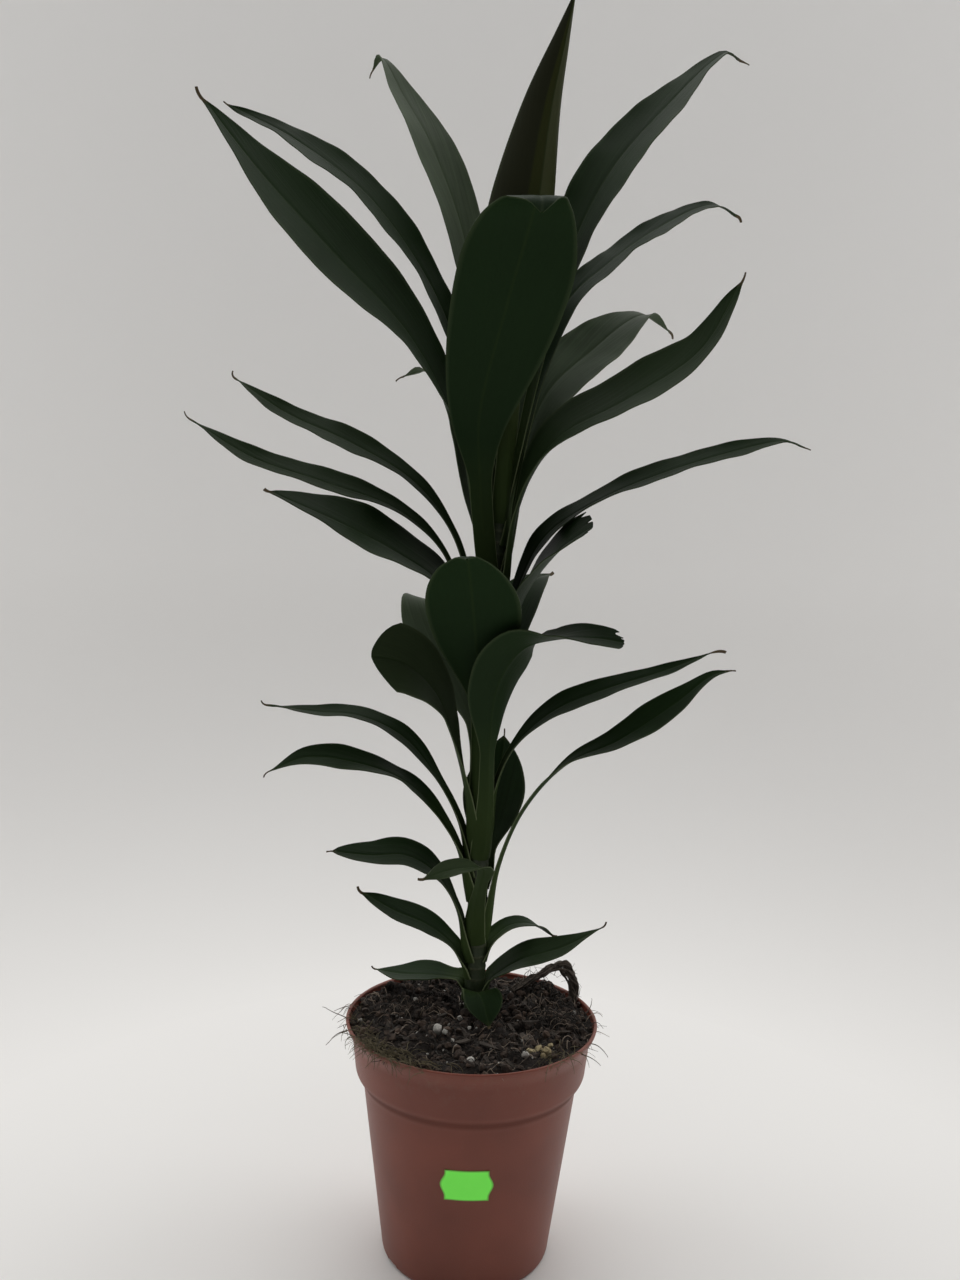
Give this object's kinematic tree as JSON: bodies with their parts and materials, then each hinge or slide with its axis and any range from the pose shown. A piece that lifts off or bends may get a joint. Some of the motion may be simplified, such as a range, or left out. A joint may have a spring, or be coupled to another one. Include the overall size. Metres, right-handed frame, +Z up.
{
  "type": "potted cordyline",
  "caption": "Young cordyline: an upright cane with long, pointed, dark green leaves all round it, rooted in peat in a tapered plastic nursery pot with a flared rim.",
  "frame": {"origin": "middle of the pot's underside, on the surface it stands on", "axes": "+Z up along the pot's axis, +X to the right and +Y to the back as seen from the front, where the price tag is"},
  "size_m": [0.3158, 0.2175, 0.6371],
  "materials": {
    "pot_plastic": "satin terracotta-brown plastic, lightly scuffed",
    "peat": "rough dark peat of decayed plant fibre, with white perlite",
    "cane": "green young cane with leaf scars",
    "leaf_dark": "smooth satin leaf with fine parallel veins",
    "leaf_grey": "satin leaf with a paler, greyer sheen",
    "leaf_spear": "rolled young leaf, olive and brownish green",
    "tag_paper": "blank fluorescent green paper label"
  },
  "bodies": {
    "root": {"pot": "pot_plastic", "soil": "peat", "stem": "cane", "leaf_01": "leaf_dark", "leaf_02": "leaf_dark", "leaf_03": "leaf_dark", "leaf_04": "leaf_dark", "leaf_05": "leaf_dark", "leaf_06": "leaf_dark", "leaf_07": "leaf_dark", "leaf_08": "leaf_dark", "leaf_09": "leaf_dark", "leaf_10": "leaf_dark", "leaf_11": "leaf_dark", "leaf_12": "leaf_dark", "leaf_13": "leaf_dark", "leaf_14": "leaf_dark", "leaf_15": "leaf_grey", "leaf_16": "leaf_dark", "leaf_17": "leaf_dark", "leaf_18": "leaf_dark", "leaf_19": "leaf_dark", "leaf_20": "leaf_dark", "leaf_21": "leaf_dark", "leaf_22": "leaf_dark", "leaf_23": "leaf_grey", "leaf_24": "leaf_dark", "leaf_25": "leaf_grey", "leaf_26": "leaf_dark", "leaf_27": "leaf_dark", "leaf_28": "leaf_dark", "leaf_29": "leaf_grey", "leaf_30": "leaf_dark", "leaf_31": "leaf_grey", "leaf_32": "leaf_spear", "leaf_33": "leaf_dark", "leaf_34": "leaf_dark", "price_tag": "tag_paper"}
  },
  "joints": []
}
